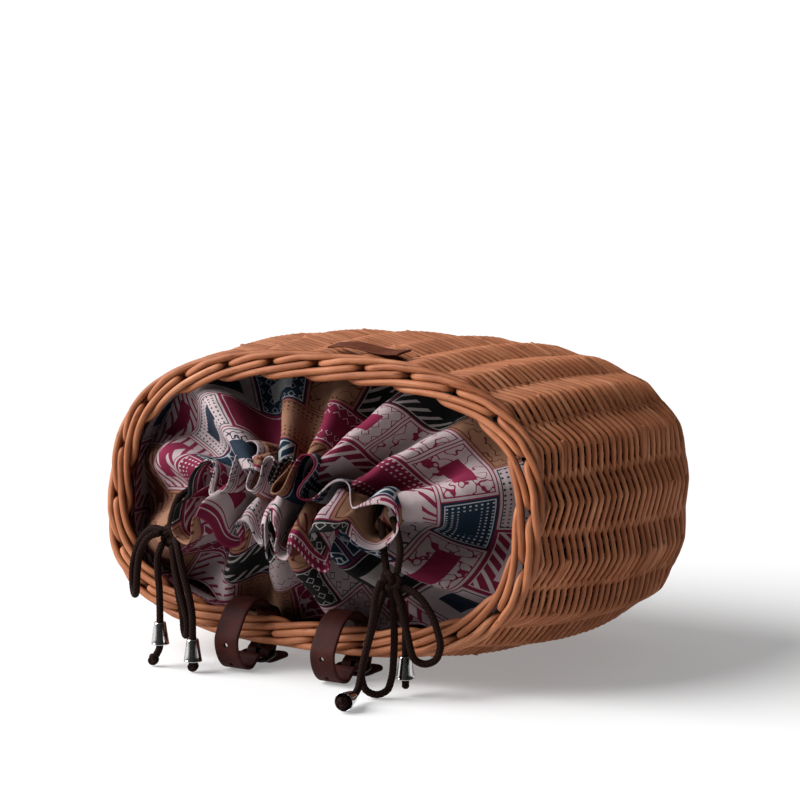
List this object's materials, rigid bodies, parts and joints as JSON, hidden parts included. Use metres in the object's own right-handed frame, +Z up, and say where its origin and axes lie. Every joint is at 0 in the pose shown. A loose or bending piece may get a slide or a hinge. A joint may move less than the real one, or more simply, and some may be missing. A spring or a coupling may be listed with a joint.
{
  "type": "bicycle basket",
  "caption": "Oval willow bicycle basket lying on its back, with a gathered drawstring cotton liner, cord bows with bells, and buckled leather handlebar straps.",
  "frame": {"origin": "on the floor under the middle of the basket and its straps", "axes": "+Z up as the basket lies on its back wall, +X along its width, and its mouth faces -Y with the base towards +Y"},
  "size_m": [0.4362, 0.3781, 0.2533],
  "materials": {
    "willow": "stained willow",
    "willow_base": "stained willow",
    "willow_stake": "stained willow",
    "cotton": "printed cotton",
    "cord": "soft braided cord",
    "strap_leather": "smooth",
    "patch_leather": "smooth",
    "dark_metal": "blackened",
    "bell_metal": "bright"
  },
  "bodies": {
    "basket": {"side_weave": "willow", "woven_base": "willow_base", "stake_01": "willow_stake", "stake_02": "willow_stake", "stake_03": "willow_stake", "stake_04": "willow_stake", "stake_05": "willow_stake", "stake_06": "willow_stake", "stake_07": "willow_stake", "stake_08": "willow_stake", "stake_09": "willow_stake", "stake_10": "willow_stake", "stake_11": "willow_stake", "stake_12": "willow_stake", "stake_13": "willow_stake", "stake_14": "willow_stake", "stake_15": "willow_stake", "stake_16": "willow_stake", "stake_17": "willow_stake", "stake_18": "willow_stake", "stake_19": "willow_stake", "stake_20": "willow_stake", "stake_21": "willow_stake", "stake_22": "willow_stake", "stake_23": "willow_stake", "stake_24": "willow_stake", "liner_bag": "cotton", "liner_collar": "cotton", "liner_header": "cotton", "leather_patch": "patch_leather", "left_strap": "strap_leather", "right_strap": "strap_leather", "left_rivet": "dark_metal", "right_rivet": "dark_metal", "left_stem_1": "cord", "left_stem_2": "cord", "left_loop_1": "cord", "left_loop_2": "cord", "left_end_1": "cord", "left_end_2": "cord", "right_stem_1": "cord", "right_stem_2": "cord", "right_loop_1": "cord", "right_loop_2": "cord", "right_end_1": "cord", "right_end_2": "cord", "left_bow_knot": "cord", "right_bow_knot": "cord"},
    "left_buckle": {"left_buckle_frame": "dark_metal"},
    "left_prong": {"left_buckle_prong": "dark_metal"},
    "right_buckle": {"right_buckle_frame": "dark_metal"},
    "right_prong": {"right_buckle_prong": "dark_metal"},
    "left_bell_1_body": {"left_bell_1": "bell_metal"},
    "left_bell_2_body": {"left_bell_2": "bell_metal"},
    "right_bell_1_body": {"right_bell_1": "bell_metal"},
    "right_bell_2_body": {"right_bell_2": "bell_metal"}
  },
  "joints": [
    {"name": "left_buckle_hinge", "type": "hinge", "parent": "basket", "child": "left_buckle", "pos_m": [-0.0508, -0.10523, 0.0079], "axis": [1, 0, 0], "range_deg": [-3, 1.5]},
    {"name": "left_prong_hinge", "type": "hinge", "parent": "left_buckle", "child": "left_prong", "pos_m": [-0.0508, -0.10523, 0.0079], "axis": [1, 0, 0], "range_deg": [0, 2.5]},
    {"name": "right_buckle_hinge", "type": "hinge", "parent": "basket", "child": "right_buckle", "pos_m": [0.0376, -0.10531, 0.0079], "axis": [1, 0, 0], "range_deg": [-3, 1.5]},
    {"name": "right_prong_hinge", "type": "hinge", "parent": "right_buckle", "child": "right_prong", "pos_m": [0.0376, -0.10531, 0.0079], "axis": [1, 0, 0], "range_deg": [0, 2.5]},
    {"name": "left_bell_1_slide", "type": "slide", "parent": "basket", "child": "left_bell_1_body", "axis": [0, 0, 1], "range_m": [0, 0.015]},
    {"name": "left_bell_2_slide", "type": "slide", "parent": "basket", "child": "left_bell_2_body", "axis": [0, 0, 1], "range_m": [0, 0.013]},
    {"name": "right_bell_1_slide", "type": "slide", "parent": "basket", "child": "right_bell_1_body", "axis": [-0.1996, 0.9799, 0], "range_m": [0, 0.004]},
    {"name": "right_bell_2_slide", "type": "slide", "parent": "basket", "child": "right_bell_2_body", "axis": [0, 0, 1], "range_m": [0, 0.011]}
  ]
}
